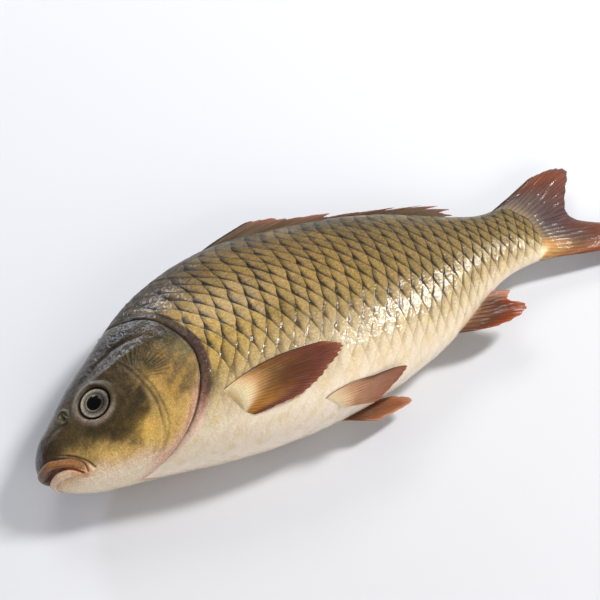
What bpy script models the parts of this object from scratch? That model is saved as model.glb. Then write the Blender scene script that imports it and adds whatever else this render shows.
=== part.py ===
"""A whole raw carp, lying on its right side: head, trunk, lips, eyes and fins are one solid.

Metres, +Z up. The snout points to -X, the back to +Y and the left flank up. The origin is at the
bottom centre of the fish's box, on the surface that it lies on. Sizes below are shares of the
standard length unless their comment says otherwise.
"""

import math

import bmesh
import bpy
import numpy as np
from mathutils import Matrix, Vector

# Driving dimension, in metres: from the snout to the root of the tail fin
STANDARD_LENGTH = 0.360

# The body's sections. Each row: distance from the snout, back, belly, half width, widest level,
# roundness of the back, roundness of the belly, height of the middle plane above the table.
SECTIONS = [
    (0.000, 0.014, -0.046, 0.033, -0.018, 2.2, 2.2, 0.0820),
    (0.042, 0.043, -0.074, 0.047, -0.016, 2.3, 2.2, 0.0845),
    (0.082, 0.079, -0.092, 0.057, -0.011, 2.4, 2.2, 0.0870),
    (0.148, 0.126, -0.108, 0.073, 0.000, 2.3, 2.2, 0.0905),
    (0.219, 0.174, -0.125, 0.087, 0.006, 2.1, 2.3, 0.0935),
    (0.319, 0.216, -0.148, 0.099, 0.010, 1.9, 2.5, 0.0968),
    (0.433, 0.230, -0.162, 0.100, 0.006, 1.8, 2.5, 0.0966),
    (0.559, 0.214, -0.159, 0.091, 0.002, 1.8, 2.4, 0.0890),
    (0.657, 0.192, -0.143, 0.078, 0.005, 1.8, 2.2, 0.0840),
    (0.748, 0.158, -0.116, 0.062, 0.010, 1.9, 2.1, 0.0790),
    (0.862, 0.099, -0.063, 0.041, 0.018, 2.0, 2.0, 0.0690),
    (0.925, 0.080, -0.049, 0.031, 0.020, 2.0, 2.0, 0.0620),
    (0.985, 0.086, -0.049, 0.016, 0.021, 2.2, 2.2, 0.0550),
    (1.010, 0.090, -0.050, 0.006, 0.021, 2.3, 2.3, 0.0520),
]
NOSE_LENGTH = 0.030  # over which the snout rounds to a point
BODY_END = 1.010

# The gill cover's rear edge: share of the half girth from back to belly, distance from the snout
GILL_EDGE = [
    (0.00, 0.185), (0.16, 0.205), (0.30, 0.262), (0.41, 0.288), (0.52, 0.303),
    (0.63, 0.294), (0.72, 0.271), (0.80, 0.240), (0.88, 0.200), (1.00, 0.150),
]
GILL_STEP = 0.0015  # from the cover's rim to the shoulder behind it
GILL_PROUD = 0.0060
GILL_RECESS = 0.0030

# The scales: columns of half scales behind the gill covers, rows on each side
HEAD_RINGS = 18
SCALE_COLUMNS = 56
SCALE_ROWS = 18
SCALE_RISE = 0.0018
SCALE_DIP = 0.0010

# The mouth: the upper and lower lips run from one corner round the snout to the other.
# Each row: distance from the snout, level, distance from the middle plane.
UPPER_LIP = [(0.079, -0.068, 0.038), (0.063, -0.050, 0.042), (0.040, -0.036, 0.039),
             (0.016, -0.030, 0.024), (0.001, -0.028, 0.000)]
LOWER_LIP = [(0.078, -0.073, 0.036), (0.060, -0.065, 0.036), (0.040, -0.058, 0.030),
             (0.022, -0.054, 0.018), (0.014, -0.052, 0.000)]
LIP_RADIUS = 0.0085
GAPE_CENTRE = (0.026, -0.0445)
GAPE_SIZE = (0.040, 0.0050, 0.032)
GAPE_SLOPE = math.radians(-25)

# The eyes and nostrils: distance from the snout, level
EYE = (0.128, 0.025)
EYE_RADIUS = 0.0230
EYE_BULGE = 0.0075
SOCKET_RADIUS = 0.0280
SOCKET_DEPTH = 0.0030
NOSTRIL = (0.074, 0.032)
NOSTRIL_RADIUS = 0.0095

# The fins. Each row of a fin's roots and tips: distance from the snout, level, distance from the
# middle plane. The pectoral fins lie on the flanks, so theirs is the height above the flank.
TAIL_ROOTS = [(0.972, 0.079, 0.0), (0.984, 0.055, 0.0), (0.990, 0.021, 0.0),
              (0.984, -0.015, 0.0), (0.972, -0.041, 0.0)]
TAIL_TIPS = [(1.050, 0.119, -0.006), (1.130, 0.106, -0.014), (1.082, 0.018, -0.012),
             (1.178, -0.092, -0.014), (1.050, -0.068, -0.008)]
DORSAL_ROOTS = [(0.395, 0.218, 0.0), (0.500, 0.212, 0.0), (0.640, 0.186, 0.0), (0.790, 0.127, 0.0)]
DORSAL_TIPS = [(0.527, 0.256, 0.004), (0.600, 0.231, 0.006), (0.700, 0.192, 0.008),
               (0.790, 0.159, 0.008), (0.865, 0.128, 0.008), (0.884, 0.096, 0.008)]
ANAL_ROOTS = [(0.735, -0.112, 0.0), (0.765, -0.100, 0.0), (0.800, -0.086, 0.0), (0.835, -0.066, 0.0)]
ANAL_TIPS = [(0.770, -0.126, 0.004), (0.850, -0.136, 0.002), (0.893, -0.120, 0.000),
             (0.874, -0.097, 0.000), (0.881, -0.077, 0.000)]
PECTORAL_ROOTS = [(0.310, -0.066, -0.007), (0.320, -0.077, -0.007), (0.330, -0.088, -0.007),
                  (0.338, -0.099, -0.007)]
PECTORAL_TIPS = [(0.488, -0.068, 0.010), (0.536, -0.086, 0.014), (0.497, -0.108, 0.012),
                 (0.430, -0.127, 0.010), (0.352, -0.122, 0.004)]
PELVIC_ROOTS = [(0.468, -0.130, 0.048), (0.476, -0.140, 0.040), (0.484, -0.150, 0.028)]
PELVIC_TIPS = {
    "left": [(0.565, -0.150, 0.064), (0.614, -0.164, 0.056), (0.536, -0.183, 0.036)],
    "right": [(0.600, -0.150, 0.054), (0.624, -0.176, 0.046), (0.546, -0.186, 0.034)],
}
RAY_THICKNESS = 0.0034  # at the roots
RAY_TAPER = 0.60
WEB_THICKNESS = 0.55  # of the ray's beside it
WEB_NOTCH = 0.045


def spline(knots, values):
    """A natural cubic spline through the values, as a function of a number or an array."""
    knots, values = np.asarray(knots, float), np.asarray(values, float)
    gaps = np.diff(knots)
    count = len(knots)
    system, right = np.eye(count), np.zeros(count)
    for i in range(1, count - 1):
        system[i, i - 1 : i + 2] = gaps[i - 1], 2 * (gaps[i - 1] + gaps[i]), gaps[i]
        slopes = np.diff(values[i - 1 : i + 2]) / gaps[i - 1 : i + 1]
        right[i] = 6 * (slopes[1] - slopes[0])
    bends = np.linalg.solve(system, right)

    def at(x):
        x = np.clip(np.asarray(x, float), knots[0], knots[-1])
        i = np.clip(np.searchsorted(knots, x) - 1, 0, count - 2)
        gap, low, high = gaps[i], x - knots[i], knots[i + 1] - x
        curve = (bends[i] * high**3 + bends[i + 1] * low**3) / (6 * gap)
        near = (values[i] / gap - bends[i] * gap / 6) * high
        far = (values[i + 1] / gap - bends[i + 1] * gap / 6) * low
        return curve + near + far

    return at


TABLE = np.array(SECTIONS)
BACK, BELLY, HALF, LEVEL, BACK_POWER, BELLY_POWER, MIDDLE = (
    spline(TABLE[:, 0], TABLE[:, column]) for column in range(1, 8)
)
GILL = spline(*zip(*GILL_EDGE))


def place(u, level, height):
    """A point in metres from its distance behind the snout, its level and its height."""
    return Vector((u, level, max(height, 0.0))) * STANDARD_LENGTH


def section(u, turn):
    """The left half section at angles from the back (0) to the belly (pi).

    Gives each point's level, its reach from the middle plane, and its outward direction.
    """
    share = math.sqrt(1 - max(1 - u / NOSE_LENGTH, 0) ** 2)
    middle = LEVEL(u)
    up = np.cos(turn) > 0
    tall = np.where(up, BACK(u) - middle, middle - BELLY(u)) * share
    wide = HALF(u) * share
    power = 2 / np.where(up, BACK_POWER(u), BELLY_POWER(u))
    height = tall * np.abs(np.cos(turn)) ** power * np.where(up, 1, -1)
    reach = wide * np.abs(np.sin(turn)) ** power
    across = height / np.maximum(tall, 1e-6) ** 2
    outward = reach / np.maximum(wide, 1e-6) ** 2
    size = np.maximum(np.hypot(across, outward), 1e-9)
    return middle + height, reach, across / size, outward / size


def skin(u, share, side=1, proud=0.0):
    """The point on the skin this share of the way round from back to belly, on the left or right."""
    turns = np.linspace(0, math.pi, 181)
    levels, reaches, _, _ = section(u, turns)
    run = np.concatenate([[0], np.cumsum(np.hypot(np.diff(levels), np.diff(reaches)))])
    turn = np.interp(share * run[-1], run, turns)
    level, reach, across, outward = (float(part) for part in section(u, turn))
    height = float(MIDDLE(u)) + side * (reach + outward * proud)
    return place(u, level + across * proud, height)


def flank(u, level):
    """How far the skin stands from the middle plane at a level."""
    middle = float(LEVEL(u))
    up = level > middle
    tall = float(BACK(u)) - middle if up else middle - float(BELLY(u))
    power = float(BACK_POWER(u) if up else BELLY_POWER(u))
    inside = max(1 - (abs(level - middle) / tall) ** power, 0)
    return float(HALF(u)) * inside ** (1 / power)


def finished(name, mesh, smooth=True):
    """The mesh as an object, with its faces pointing out."""
    bmesh.ops.recalc_face_normals(mesh, faces=mesh.faces[:])
    data = bpy.data.meshes.new(name)
    mesh.to_mesh(data)
    mesh.free()
    if smooth:
        data.shade_smooth()
    return bpy.data.objects.new(name, data)


def proud_of(column, row, share):
    """How far a point stands out: on the gill cover's plate, in its slit, or on a scale."""
    sides = math.sin(math.pi * min(max((share - 0.10) / 0.82, 0), 1)) ** 0.5
    if column <= HEAD_RINGS:
        return GILL_PROUD * sides * (column / HEAD_RINGS) ** 4
    behind = column - HEAD_RINGS - 1
    slit = -GILL_RECESS * sides * max(0, 1 - behind / 4)
    scale = SCALE_RISE if (column + row) % 2 else -SCALE_DIP
    edge = min(1, 5 * share, 5 * (1 - share)) * min(1, behind / 2)
    return slit + scale * edge * max(0.35, 1 - share**3)


def body():
    """Head and trunk: a loft whose rings follow the gill cover and stand square at the tail."""
    mesh = bmesh.new()
    places = [(row, 1) for row in range(SCALE_ROWS + 1)]
    places += [(row, -1) for row in range(SCALE_ROWS - 1, 0, -1)]
    rings = []
    for column in range(1, HEAD_RINGS + SCALE_COLUMNS + 2):
        ring = []
        for row, side in places:
            share = row / SCALE_ROWS
            edge = float(GILL(share))
            if column <= HEAD_RINGS:
                u = edge * (column / HEAD_RINGS) ** 1.35
            else:
                along = (column - HEAD_RINGS - 1) / SCALE_COLUMNS
                start = edge + GILL_STEP
                u = start + (BODY_END - start) * (1.18 * along - 0.18 * along**2)
            ring.append(mesh.verts.new(skin(u, share, side, proud_of(column, row, share))))
        rings.append(ring)
    for column, (before, after) in enumerate(zip(rings, rings[1:]), start=1):
        for k, (row, side) in enumerate(places):
            n = (k + 1) % len(places)
            corners = (before[k], after[k], after[n], before[n])
            # Each square is split between its two low points, so that four make one scale
            first = 0 if (column + row) % 2 == 0 else 1
            a, b, c, d = corners[first:] + corners[:first]
            mesh.faces.new((a, b, c))
            mesh.faces.new((a, c, d))
    for ring, u in ((rings[0], 0.0), (rings[-1], BODY_END)):
        tip = mesh.verts.new(place(u, float(LEVEL(u)), float(MIDDLE(u))))
        for k in range(len(ring)):
            mesh.faces.new((tip, ring[k], ring[(k + 1) % len(ring)]))
    return finished("carp", mesh)


def fin(name, roots, tips, rays, steps, side=1, on_skin=False):
    """A webbed fin: a thin closed plate, thick along its rays and notched between them."""
    rows = np.linspace(0, 1, 2 * rays + 1)
    root_lines = [spline(np.linspace(0, 1, len(roots)), column) for column in zip(*roots)]
    tip_lines = [spline(np.linspace(0, 1, len(tips)), column) for column in zip(*tips)]
    points = np.zeros((len(rows), steps + 1, 3))
    thick = np.zeros(points.shape[:2])
    for i, row in enumerate(rows):
        root = np.array([float(line(row)) for line in root_lines])
        tip = np.array([float(line(row)) for line in tip_lines])
        web = i % 2 == 0
        for j in range(steps + 1):
            along = j / steps * ((1 - WEB_NOTCH) if web else 1)
            u, level, lift = root + (tip - root) * along
            if on_skin:
                lift = root[2] + (tip[2] - root[2]) * math.sqrt(along)
            reach = flank(u, level) + lift if on_skin else lift
            points[i, j] = u, level, max(float(MIDDLE(u)) + side * reach, RAY_THICKNESS)
            thick[i, j] = RAY_THICKNESS * (1 - RAY_TAPER * along) * (WEB_THICKNESS if web else 1)
    across = np.gradient(points, axis=0)
    along = np.gradient(points, axis=1)
    normal = np.cross(along, across)
    normal /= np.linalg.norm(normal, axis=2, keepdims=True)
    mesh = bmesh.new()
    faces = []
    for face in (1, -1):
        moved = points + normal * thick[..., None] * face / 2
        faces.append([[mesh.verts.new(place(*point)) for point in line] for line in moved])
    for sheet in faces:
        for near, far in zip(sheet, sheet[1:]):
            for j in range(steps):
                mesh.faces.new((near[j], near[j + 1], far[j + 1], far[j]))
    rims = []
    for sheet in faces:
        rim = sheet[0][:-1] + [line[-1] for line in sheet[:-1]]
        rim += sheet[-1][:0:-1] + [line[0] for line in sheet[:0:-1]]
        rims.append(rim)
    upper, lower = rims
    for k in range(len(upper)):
        n = (k + 1) % len(upper)
        mesh.faces.new((upper[k], upper[n], lower[n], lower[k]))
    return finished(name, mesh)


def lip(name, half):
    """A lip: a round tube from one corner of the mouth round the snout to the other."""
    rows = np.linspace(0, 1, len(half))
    lines = [spline(rows, column) for column in zip(*half)]
    path = [[float(line(t)) for line in lines] for t in np.linspace(0, 1, 9)]
    whole = path + [(u, level, -reach) for u, level, reach in path[-2::-1]]
    curve = bpy.data.curves.new(name, "CURVE")
    curve.dimensions = "3D"
    curve.bevel_depth = LIP_RADIUS * STANDARD_LENGTH
    curve.bevel_resolution = 2
    curve.use_fill_caps = True
    strand = curve.splines.new("POLY")
    strand.points.add(len(whole) - 1)
    for k, (point, (u, level, reach)) in enumerate(zip(strand.points, whole)):
        point.co = (*place(u, level, float(MIDDLE(u)) + reach), 1)
        point.radius = 0.55 + 0.45 * math.sin(math.pi * k / (len(whole) - 1))
    tube = bpy.data.objects.new(name, curve)
    bpy.context.scene.collection.objects.link(tube)
    graph = bpy.context.evaluated_depsgraph_get()
    data = bpy.data.meshes.new_from_object(tube.evaluated_get(graph))
    bpy.data.objects.remove(tube)
    mesh = bmesh.new()
    mesh.from_mesh(data)
    bpy.data.meshes.remove(data)
    bmesh.ops.remove_doubles(mesh, verts=mesh.verts[:], dist=0.00002)
    return finished(name, mesh)


def ellipsoid(name, centre, radii, turn, segments, rings):
    """A ball stretched to three radii and turned, at a centre given in shares."""
    mesh = bmesh.new()
    bmesh.ops.create_uvsphere(mesh, u_segments=segments, v_segments=rings, radius=1)
    stretch = Matrix.Diagonal((*radii, 1))
    scale = Matrix.Scale(STANDARD_LENGTH, 4)
    mesh.transform(Matrix.Translation(place(*centre)) @ turn @ scale @ stretch)
    return finished(name, mesh)


def facing(u, level, side):
    """The turn that takes +Z to the skin's outward direction at a point of a flank."""
    gap = 0.004
    slope_u = (flank(u + gap, level) - flank(u - gap, level)) / (2 * gap)
    slope_level = (flank(u, level + gap) - flank(u, level - gap)) / (2 * gap)
    outward = Vector((-slope_u, -slope_level, side))
    return Vector((0, 0, 1)).rotation_difference(outward).to_matrix().to_4x4()


def on_flank(spot, side, proud):
    """A point over a flank, in shares."""
    u, level = spot
    return u, level, float(MIDDLE(u)) + side * (flank(u, level) + proud)


def collection(name, pieces):
    """A collection of pieces, linked to the scene."""
    group = bpy.data.collections.new(name)
    bpy.context.scene.collection.children.link(group)
    for piece in pieces:
        group.objects.link(piece)
    return group


def join(target, operation, pieces):
    """Cuts or unites a collection's pieces with the target, and removes them."""
    group = collection(f"{operation.lower()}_pieces", pieces)
    for piece in pieces:
        piece.hide_render = True
        piece.display_type = "WIRE"
    step = target.modifiers.new(operation.title(), "BOOLEAN")
    step.operation = operation
    step.operand_type = "COLLECTION"
    step.collection = group
    step.solver = "EXACT"
    bpy.context.view_layer.objects.active = target
    bpy.ops.object.modifier_apply(modifier=step.name)
    for piece in pieces:
        bpy.data.objects.remove(piece)
    bpy.data.collections.remove(group)


def drop_scraps(target):
    """Keeps the one body, and removes the scraps and bubbles left where a fin grazes the skin."""
    mesh = bmesh.new()
    mesh.from_mesh(target.data)
    left = set(mesh.verts)
    islands = []
    while left:
        island, front = set(), [left.pop()]
        while front:
            vertex = front.pop()
            island.add(vertex)
            near = {edge.other_vert(vertex) for edge in vertex.link_edges} & left
            left -= near
            front.extend(near)
        islands.append(island)
    islands.sort(key=len)
    scraps = [vertex for island in islands[:-1] for vertex in island]
    bmesh.ops.delete(mesh, geom=scraps, context="VERTS")
    mesh.to_mesh(target.data)
    mesh.free()


def skin_material():
    """Wet scaled skin, golden olive."""
    material = bpy.data.materials.new("wet_carp_skin")
    material.use_nodes = True
    shader = material.node_tree.nodes["Principled BSDF"]
    shader.inputs["Base Color"].default_value = (0.30, 0.22, 0.09, 1)
    shader.inputs["Roughness"].default_value = 0.32
    shader.inputs["Metallic"].default_value = 0.0
    return material


for old in list(bpy.data.objects):
    bpy.data.objects.remove(old)

carp = body()
collection("whole_carp", [carp])

gape = (*GAPE_CENTRE, float(MIDDLE(GAPE_CENTRE[0])))
hollows = [ellipsoid("gape", gape, GAPE_SIZE, Matrix.Rotation(GAPE_SLOPE, 4, "Z"), 20, 10)]
for name, side in (("left", 1), ("right", -1)):
    turn = facing(*EYE, side)
    radii = (SOCKET_RADIUS, SOCKET_RADIUS, SOCKET_DEPTH * 2)
    hollows.append(ellipsoid(f"socket_{name}", on_flank(EYE, side, 0.0), radii, turn, 18, 8))
    radii = (NOSTRIL_RADIUS, NOSTRIL_RADIUS * 0.8, NOSTRIL_RADIUS * 0.6)
    turn = facing(*NOSTRIL, side)
    hollows.append(ellipsoid(f"nostril_{name}", on_flank(NOSTRIL, side, 0.0), radii, turn, 12, 6))
join(carp, "DIFFERENCE", hollows)

pieces = [lip("upper_lip", UPPER_LIP), lip("lower_lip", LOWER_LIP)]
for name, side in (("left", 1), ("right", -1)):
    turn = facing(*EYE, side)
    radii = (EYE_RADIUS, EYE_RADIUS, EYE_BULGE * 2)
    pieces.append(ellipsoid(f"eye_{name}", on_flank(EYE, side, -EYE_BULGE), radii, turn, 16, 10))
    pieces += [
        fin(f"pectoral_fin_{name}", PECTORAL_ROOTS, PECTORAL_TIPS, 11, 5, side, on_skin=True),
        fin(f"pelvic_fin_{name}", PELVIC_ROOTS, PELVIC_TIPS[name], 7, 4, side),
    ]
pieces.append(fin("tail_fin", TAIL_ROOTS, TAIL_TIPS, 15, 6))
pieces.append(fin("dorsal_fin", DORSAL_ROOTS, DORSAL_TIPS, 18, 3))
pieces.append(fin("anal_fin", ANAL_ROOTS, ANAL_TIPS, 8, 4))
join(carp, "UNION", pieces)
drop_scraps(carp)

corners = np.array([vertex.co for vertex in carp.data.vertices])
low, high = corners.min(axis=0), corners.max(axis=0)
centre = Vector(((low[0] + high[0]) / 2, (low[1] + high[1]) / 2, low[2]))
carp.data.transform(Matrix.Translation(-centre))
carp.data.materials.clear()
carp.data.materials.append(skin_material())
carp.data.shade_smooth()
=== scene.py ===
"""A whole raw carp on its right side, dressed over its CAD solid.

Places are shares of the standard length, as distance behind the snout, level (up towards the back)
and height above the table, unless a comment says otherwise.
"""

import math

import bmesh
import bpy
import numpy as np
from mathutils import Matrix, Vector


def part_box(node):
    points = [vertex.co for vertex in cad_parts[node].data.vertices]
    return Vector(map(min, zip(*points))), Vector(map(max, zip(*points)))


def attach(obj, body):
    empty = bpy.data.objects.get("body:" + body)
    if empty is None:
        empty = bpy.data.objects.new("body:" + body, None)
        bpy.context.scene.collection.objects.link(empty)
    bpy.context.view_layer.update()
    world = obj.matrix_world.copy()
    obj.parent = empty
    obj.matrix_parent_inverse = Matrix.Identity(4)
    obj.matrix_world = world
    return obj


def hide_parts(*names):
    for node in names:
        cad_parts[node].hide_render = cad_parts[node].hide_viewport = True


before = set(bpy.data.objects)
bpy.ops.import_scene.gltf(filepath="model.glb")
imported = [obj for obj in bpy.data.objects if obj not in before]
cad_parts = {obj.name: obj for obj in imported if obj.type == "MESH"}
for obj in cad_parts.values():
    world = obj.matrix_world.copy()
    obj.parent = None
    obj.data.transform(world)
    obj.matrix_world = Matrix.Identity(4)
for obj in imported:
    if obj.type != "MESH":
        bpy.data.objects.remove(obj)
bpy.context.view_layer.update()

# Trunk and scales
# The trunk and head are one deep oval of flesh, thickest behind the gill covers and flat where it
# lies. The trunk's skin is set with overlapping horny scales in slanting rows: each shows a pointed
# arc, is dark where it comes out from under its neighbours, partly pigment and partly painted shade
# of the overlap, and pales at the belly.

LOW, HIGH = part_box("carp")
LENGTHS_OVERALL = 1.18533  # from the upper lip to the tail fin's lower tip
LIP_FRONT = -0.00708  # the upper lip stands this far before the snout
LOWEST_LEVEL = -0.18520  # the right pelvic fin's margin
STANDARD = (HIGH.x - LOW.x) / LENGTHS_OVERALL
ORIGIN = np.array([LOW.x - LIP_FRONT * STANDARD, LOW.y - LOWEST_LEVEL * STANDARD, 0.0])

# Each row: distance from the snout, back, belly, half width, widest level, roundness of the back,
# roundness of the belly, height of the middle plane above the table
SECTIONS = np.array([
    (0.000, 0.014, -0.046, 0.033, -0.018, 2.2, 2.2, 0.0820),
    (0.042, 0.043, -0.074, 0.047, -0.016, 2.3, 2.2, 0.0845),
    (0.082, 0.079, -0.092, 0.057, -0.011, 2.4, 2.2, 0.0870),
    (0.148, 0.126, -0.108, 0.073, 0.000, 2.3, 2.2, 0.0905),
    (0.219, 0.174, -0.125, 0.087, 0.006, 2.1, 2.3, 0.0935),
    (0.319, 0.216, -0.148, 0.099, 0.010, 1.9, 2.5, 0.0968),
    (0.433, 0.230, -0.162, 0.100, 0.006, 1.8, 2.5, 0.0966),
    (0.559, 0.214, -0.159, 0.091, 0.002, 1.8, 2.4, 0.0890),
    (0.657, 0.192, -0.143, 0.078, 0.005, 1.8, 2.2, 0.0840),
    (0.748, 0.158, -0.116, 0.062, 0.010, 1.9, 2.1, 0.0790),
    (0.862, 0.099, -0.063, 0.041, 0.018, 2.0, 2.0, 0.0690),
    (0.925, 0.080, -0.049, 0.031, 0.020, 2.0, 2.0, 0.0620),
    (0.985, 0.086, -0.049, 0.016, 0.021, 2.2, 2.2, 0.0550),
    (1.010, 0.090, -0.050, 0.006, 0.021, 2.3, 2.3, 0.0520),
])
NOSE_LENGTH = 0.030
BODY_END = 1.010

# The gill cover's rear edge: share of the way round from back to belly, distance from the snout
GILL_EDGE = [
    (0.00, 0.185), (0.16, 0.205), (0.30, 0.262), (0.41, 0.288), (0.52, 0.303),
    (0.63, 0.294), (0.72, 0.271), (0.80, 0.240), (0.88, 0.200), (1.00, 0.150),
]


def spline(knots, values):
    """A natural cubic spline through the values, as a function of a number or an array."""
    knots, values = np.asarray(knots, float), np.asarray(values, float)
    gaps = np.diff(knots)
    count = len(knots)
    system, right = np.eye(count), np.zeros(count)
    for i in range(1, count - 1):
        system[i, i - 1 : i + 2] = gaps[i - 1], 2 * (gaps[i - 1] + gaps[i]), gaps[i]
        slopes = np.diff(values[i - 1 : i + 2]) / gaps[i - 1 : i + 1]
        right[i] = 6 * (slopes[1] - slopes[0])
    bends = np.linalg.solve(system, right)

    def at(x):
        x = np.clip(np.asarray(x, float), knots[0], knots[-1])
        i = np.clip(np.searchsorted(knots, x) - 1, 0, count - 2)
        gap, low, high = gaps[i], x - knots[i], knots[i + 1] - x
        curve = (bends[i] * high**3 + bends[i + 1] * low**3) / (6 * gap)
        near = (values[i] / gap - bends[i] * gap / 6) * high
        far = (values[i + 1] / gap - bends[i + 1] * gap / 6) * low
        return curve + near + far

    return at


BACK, BELLY, HALF, LEVEL, BACK_POWER, BELLY_POWER, MIDDLE = (
    spline(SECTIONS[:, 0], SECTIONS[:, column]) for column in range(1, 8)
)
GILL = spline(*zip(*GILL_EDGE))


def smooth(low, high, x):
    """0 below low, 1 above high, and a smooth rise between."""
    t = np.clip((np.asarray(x, float) - low) / (high - low), 0, 1)
    return t * t * (3 - 2 * t)


def section(u, turn):
    """The left half section at angles from back (0) to belly (pi): level, reach, outward direction."""
    share = np.sqrt(1 - np.clip(1 - u / NOSE_LENGTH, 0, 1) ** 2)
    middle = LEVEL(u)
    up = np.cos(turn) > 0
    tall = np.where(up, BACK(u) - middle, middle - BELLY(u)) * share
    wide = HALF(u) * share
    power = 2 / np.where(up, BACK_POWER(u), BELLY_POWER(u))
    height = tall * np.abs(np.cos(turn)) ** power * np.where(up, 1, -1)
    reach = wide * np.abs(np.sin(turn)) ** power
    across = height / np.maximum(tall, 1e-6) ** 2
    outward = reach / np.maximum(wide, 1e-6) ** 2
    size = np.maximum(np.hypot(across, outward), 1e-9)
    return middle + height, reach, across / size, outward / size


# Even steps along the half girth, from the back to the belly, at stations along the body
STATIONS = np.linspace(0, BODY_END, 203)
TURNS = np.linspace(0, math.pi, 361)
EVEN = np.linspace(0, 1, 201)
even_turns, half_girths = [], []
for station in STATIONS:
    levels, reaches, _, _ = section(np.full_like(TURNS, station), TURNS)
    run = np.concatenate([[0], np.cumsum(np.hypot(np.diff(levels), np.diff(reaches)))])
    half_girths.append(run[-1])
    even_turns.append(np.interp(EVEN * run[-1], run, TURNS) if run[-1] > 0 else EVEN * math.pi)
even_turns, half_girths = np.array(even_turns), np.array(half_girths)


def skin(u, share, side):
    """Points on the smooth form, in shares, with their outward directions.

    share runs from the back (0) to the belly (1); side is 1 on the left and -1 on the right.
    """
    a = np.clip(u / BODY_END, 0, 1) * (len(STATIONS) - 1)
    b = np.clip(share, 0, 1) * (len(EVEN) - 1)
    i = np.minimum(a.astype(int), len(STATIONS) - 2)
    j = np.minimum(b.astype(int), len(EVEN) - 2)
    fa, fb = a - i, b - j
    turn = (
        even_turns[i, j] * (1 - fa) * (1 - fb) + even_turns[i + 1, j] * fa * (1 - fb)
        + even_turns[i, j + 1] * (1 - fa) * fb + even_turns[i + 1, j + 1] * fa * fb
    )
    level, reach, across, outward = section(u, turn)
    points = np.stack([u, level, MIDDLE(u) + side * reach], axis=-1)
    return points, np.stack([np.zeros_like(u), across, side * outward], axis=-1)


def metres(points):
    """Shares to metres in the frame, with nothing below the table."""
    moved = ORIGIN + np.asarray(points) * STANDARD
    moved[..., 2] = np.maximum(moved[..., 2], 0.0)
    return moved


def grid_normals(points, around):
    """Normals of a grid of points; around says that its last row meets its first."""
    along = np.gradient(points, axis=0)
    if around:
        across = (np.roll(points, -1, axis=1) - np.roll(points, 1, axis=1)) / 2
    else:
        across = np.gradient(points, axis=1)
    normal = np.cross(across, along)
    return normal / np.maximum(np.linalg.norm(normal, axis=-1, keepdims=True), 1e-12)


def tube_mesh(name, rings, tips, maps, colours):
    """A closed mesh over rings of points, with a point at each end, UV maps and painted colours.

    A map holds one more row than the rings, so that it doesn't wrap where they close.
    """
    count, around = rings.shape[:2]
    index = np.arange(count * around).reshape(count, around)
    a, b = index[:-1], index[1:]
    c, d = np.roll(b, -1, axis=1), np.roll(a, -1, axis=1)
    quads = np.stack([a, d, c, b], axis=-1).reshape(-1, 4)
    first, last = count * around, count * around + 1
    near, far = index[0], index[-1]
    fans = [(first, n, p) for p, n in zip(near, np.roll(near, -1))]
    fans += [(last, p, n) for p, n in zip(far, np.roll(far, -1))]
    vertices = np.concatenate([rings.reshape(-1, 3), tips])
    data = bpy.data.meshes.new(name)
    data.from_pydata(vertices.tolist(), [], quads.tolist() + fans)
    wraps = np.arange(around)
    cells = [(i, j) for i in range(count - 1) for j in range(around)]
    corner_i = np.array([(i, i, i + 1, i + 1) for i, _ in cells]).ravel()
    corner_j = np.array([(j, j + 1, j + 1, j) for _, j in cells]).ravel()
    fan_near = np.stack([wraps + 0.5, wraps + 1, wraps], axis=1)
    fan_far = np.stack([wraps + 0.5, wraps, wraps + 1], axis=1)
    for key, values in maps.items():
        layer = data.uv_layers.new(name=key)
        body = values[corner_i, corner_j]
        ends = []
        for row, fan in ((0, fan_near), (count - 1, fan_far)):
            edge = values[row]
            low = np.floor(fan).astype(int)
            ends.append(edge[low].reshape(-1, 2))
        layer.data.foreach_set("uv", np.concatenate([body, *ends]).astype(np.float32).ravel())
    for key, values in colours.items():
        layer = data.color_attributes.new(key, "FLOAT_COLOR", "POINT")
        flat = np.concatenate([values.reshape(-1, 3), values[0, :1], values[-1, :1]])
        flat = np.concatenate([flat, np.ones((len(flat), 1))], axis=1)
        layer.data.foreach_set("color", flat.astype(np.float32).ravel())
    mesh = bmesh.new()
    mesh.from_mesh(data)
    bmesh.ops.recalc_face_normals(mesh, faces=mesh.faces[:])
    mesh.to_mesh(data)
    mesh.free()
    data.shade_smooth()
    piece = bpy.data.objects.new(name, data)
    bpy.context.scene.collection.objects.link(piece)
    return piece


def linear(code):
    """An sRGB hex colour as linear red, green and blue."""
    parts = np.array([int(code[k : k + 2], 16) for k in (1, 3, 5)]) / 255
    return np.where(parts <= 0.04045, parts / 12.92, ((parts + 0.055) / 1.055) ** 2.4)


def tinted(base, colour, mask):
    """A painted colour laid over another by a mask."""
    return base + (linear(colour) - base) * np.clip(mask, 0, 1)[..., None]


def bell(distance, width):
    """1 where the distance is nothing, falling smoothly away."""
    return np.exp(-((distance / width) ** 2))


def along_tones(places, stops):
    """Colours at places between stops of place and hex colour."""
    tones = np.array([linear(code) for _, code in stops]).T
    return np.stack([np.interp(places, [place for place, _ in stops], column) for column in tones], -1)


def layered(base, coats):
    """A painted colour under thin coats, each a hex colour with its mask."""
    for colour, mask in coats:
        base = tinted(base, colour, mask)
    return base


def drift(points, scale, seed):
    """Smooth uneven patches over points, about -1 to 1."""
    a, b, c = (points[..., k] * scale for k in range(3))
    wave = np.sin(a + seed) * np.sin(1.3 * b + 2.1 * seed) + np.sin(0.8 * a - 1.1 * c + 3 * seed)
    return 0.5 * wave + 0.5 * np.sin(1.7 * b - 1.2 * a + seed) * np.sin(c * 1.9 + seed)


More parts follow.
